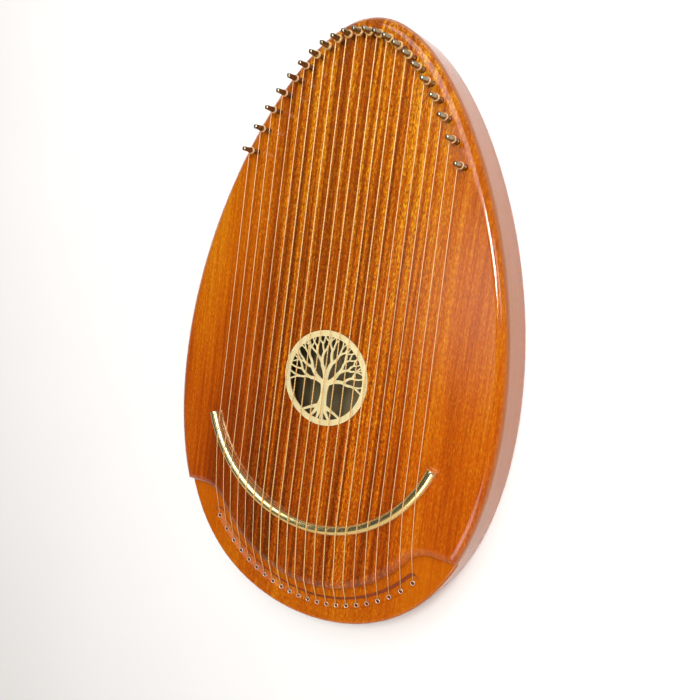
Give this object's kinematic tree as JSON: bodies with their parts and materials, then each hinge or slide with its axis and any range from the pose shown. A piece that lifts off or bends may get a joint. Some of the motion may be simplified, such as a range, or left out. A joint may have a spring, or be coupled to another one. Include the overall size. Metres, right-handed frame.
{
  "type": "lap harp",
  "caption": "Egg-shaped wooden lap harp: strings run from a routed tail ledge over a curved brass bridge and a pierced sound hole to tuning pins that turn.",
  "frame": {"origin": "under the middle of the body, on the plane that the flat back rests on", "axes": "+Y along the strings from the tail ledge to the tuning pins, +Z out of the soundboard, +X to the right of someone who faces the soundboard with the pins up"},
  "size_m": [0.348, 0.568, 0.078],
  "materials": {
    "lacquered_mahogany": "gloss lacquer over ribbon-striped mahogany",
    "maple": "bare",
    "spruce": "bare",
    "polished_brass": "polished",
    "nickel_plated_steel": "nickel plate",
    "plated_steel_string": "drawn wire",
    "bronze_wound_string": "bronze winding on a steel core"
  },
  "bodies": {
    "harp": {"soundboard": "lacquered_mahogany", "side_left": "lacquered_mahogany", "side_right": "lacquered_mahogany", "back_board": "lacquered_mahogany", "tail_block": "lacquered_mahogany", "pin_block": "maple", "soundboard_brace_upper": "spruce", "soundboard_brace_middle": "spruce", "soundboard_brace_lower": "spruce", "back_brace_upper": "spruce", "back_brace_lower": "spruce", "bridge": "polished_brass", "rosette": "polished_brass", "string_01": "plated_steel_string", "string_02": "plated_steel_string", "string_03": "plated_steel_string", "string_04": "plated_steel_string", "string_05": "plated_steel_string", "string_06": "plated_steel_string", "string_07": "bronze_wound_string", "string_08": "bronze_wound_string", "string_09": "bronze_wound_string", "string_10": "bronze_wound_string", "string_11": "bronze_wound_string", "string_12": "bronze_wound_string", "string_13": "bronze_wound_string", "string_14": "bronze_wound_string", "string_15": "bronze_wound_string", "string_16": "bronze_wound_string", "string_17": "plated_steel_string", "string_18": "plated_steel_string", "string_19": "plated_steel_string", "string_20": "plated_steel_string", "string_21": "plated_steel_string", "string_22": "plated_steel_string"},
    "tuning_pin_01": {"tuning_pin_01": "nickel_plated_steel"},
    "tuning_pin_02": {"tuning_pin_02": "nickel_plated_steel"},
    "tuning_pin_03": {"tuning_pin_03": "nickel_plated_steel"},
    "tuning_pin_04": {"tuning_pin_04": "nickel_plated_steel"},
    "tuning_pin_05": {"tuning_pin_05": "nickel_plated_steel"},
    "tuning_pin_06": {"tuning_pin_06": "nickel_plated_steel"},
    "tuning_pin_07": {"tuning_pin_07": "nickel_plated_steel"},
    "tuning_pin_08": {"tuning_pin_08": "nickel_plated_steel"},
    "tuning_pin_09": {"tuning_pin_09": "nickel_plated_steel"},
    "tuning_pin_10": {"tuning_pin_10": "nickel_plated_steel"},
    "tuning_pin_11": {"tuning_pin_11": "nickel_plated_steel"},
    "tuning_pin_12": {"tuning_pin_12": "nickel_plated_steel"},
    "tuning_pin_13": {"tuning_pin_13": "nickel_plated_steel"},
    "tuning_pin_14": {"tuning_pin_14": "nickel_plated_steel"},
    "tuning_pin_15": {"tuning_pin_15": "nickel_plated_steel"},
    "tuning_pin_16": {"tuning_pin_16": "nickel_plated_steel"},
    "tuning_pin_17": {"tuning_pin_17": "nickel_plated_steel"},
    "tuning_pin_18": {"tuning_pin_18": "nickel_plated_steel"},
    "tuning_pin_19": {"tuning_pin_19": "nickel_plated_steel"},
    "tuning_pin_20": {"tuning_pin_20": "nickel_plated_steel"},
    "tuning_pin_21": {"tuning_pin_21": "nickel_plated_steel"},
    "tuning_pin_22": {"tuning_pin_22": "nickel_plated_steel"}
  },
  "joints": [
    {"name": "tuning_pin_01_turn", "type": "hinge", "parent": "harp", "child": "tuning_pin_01", "pos_m": [-0.10784, 0.15735, 0.055], "axis": [0, 0, 1], "range_deg": [-180, 720]},
    {"name": "tuning_pin_02_turn", "type": "hinge", "parent": "harp", "child": "tuning_pin_02", "pos_m": [-0.09756, 0.17816, 0.055], "axis": [0, 0, 1], "range_deg": [-180, 720]},
    {"name": "tuning_pin_03_turn", "type": "hinge", "parent": "harp", "child": "tuning_pin_03", "pos_m": [-0.08729, 0.19611, 0.055], "axis": [0, 0, 1], "range_deg": [-180, 720]},
    {"name": "tuning_pin_04_turn", "type": "hinge", "parent": "harp", "child": "tuning_pin_04", "pos_m": [-0.07702, 0.21166, 0.055], "axis": [0, 0, 1], "range_deg": [-180, 720]},
    {"name": "tuning_pin_05_turn", "type": "hinge", "parent": "harp", "child": "tuning_pin_05", "pos_m": [-0.06675, 0.22511, 0.055], "axis": [0, 0, 1], "range_deg": [-180, 720]},
    {"name": "tuning_pin_06_turn", "type": "hinge", "parent": "harp", "child": "tuning_pin_06", "pos_m": [-0.05649, 0.23664, 0.055], "axis": [0, 0, 1], "range_deg": [-180, 720]},
    {"name": "tuning_pin_07_turn", "type": "hinge", "parent": "harp", "child": "tuning_pin_07", "pos_m": [-0.04621, 0.24629, 0.055], "axis": [0, 0, 1], "range_deg": [-180, 720]},
    {"name": "tuning_pin_08_turn", "type": "hinge", "parent": "harp", "child": "tuning_pin_08", "pos_m": [-0.03594, 0.25409, 0.055], "axis": [0, 0, 1], "range_deg": [-180, 720]},
    {"name": "tuning_pin_09_turn", "type": "hinge", "parent": "harp", "child": "tuning_pin_09", "pos_m": [-0.02567, 0.25999, 0.055], "axis": [0, 0, 1], "range_deg": [-180, 720]},
    {"name": "tuning_pin_10_turn", "type": "hinge", "parent": "harp", "child": "tuning_pin_10", "pos_m": [-0.01541, 0.26396, 0.055], "axis": [0, 0, 1], "range_deg": [-180, 720]},
    {"name": "tuning_pin_11_turn", "type": "hinge", "parent": "harp", "child": "tuning_pin_11", "pos_m": [-0.00513, 0.26595, 0.055], "axis": [0, 0, 1], "range_deg": [-180, 720]},
    {"name": "tuning_pin_12_turn", "type": "hinge", "parent": "harp", "child": "tuning_pin_12", "pos_m": [0.00513, 0.26595, 0.055], "axis": [0, 0, 1], "range_deg": [-180, 720]},
    {"name": "tuning_pin_13_turn", "type": "hinge", "parent": "harp", "child": "tuning_pin_13", "pos_m": [0.01541, 0.26396, 0.055], "axis": [0, 0, 1], "range_deg": [-180, 720]},
    {"name": "tuning_pin_14_turn", "type": "hinge", "parent": "harp", "child": "tuning_pin_14", "pos_m": [0.02567, 0.25999, 0.055], "axis": [0, 0, 1], "range_deg": [-180, 720]},
    {"name": "tuning_pin_15_turn", "type": "hinge", "parent": "harp", "child": "tuning_pin_15", "pos_m": [0.03594, 0.25409, 0.055], "axis": [0, 0, 1], "range_deg": [-180, 720]},
    {"name": "tuning_pin_16_turn", "type": "hinge", "parent": "harp", "child": "tuning_pin_16", "pos_m": [0.04621, 0.24629, 0.055], "axis": [0, 0, 1], "range_deg": [-180, 720]},
    {"name": "tuning_pin_17_turn", "type": "hinge", "parent": "harp", "child": "tuning_pin_17", "pos_m": [0.05649, 0.23664, 0.055], "axis": [0, 0, 1], "range_deg": [-180, 720]},
    {"name": "tuning_pin_18_turn", "type": "hinge", "parent": "harp", "child": "tuning_pin_18", "pos_m": [0.06675, 0.22511, 0.055], "axis": [0, 0, 1], "range_deg": [-180, 720]},
    {"name": "tuning_pin_19_turn", "type": "hinge", "parent": "harp", "child": "tuning_pin_19", "pos_m": [0.07702, 0.21166, 0.055], "axis": [0, 0, 1], "range_deg": [-180, 720]},
    {"name": "tuning_pin_20_turn", "type": "hinge", "parent": "harp", "child": "tuning_pin_20", "pos_m": [0.08729, 0.19611, 0.055], "axis": [0, 0, 1], "range_deg": [-180, 720]},
    {"name": "tuning_pin_21_turn", "type": "hinge", "parent": "harp", "child": "tuning_pin_21", "pos_m": [0.09756, 0.17816, 0.055], "axis": [0, 0, 1], "range_deg": [-180, 720]},
    {"name": "tuning_pin_22_turn", "type": "hinge", "parent": "harp", "child": "tuning_pin_22", "pos_m": [0.10784, 0.15735, 0.055], "axis": [0, 0, 1], "range_deg": [-180, 720]}
  ]
}
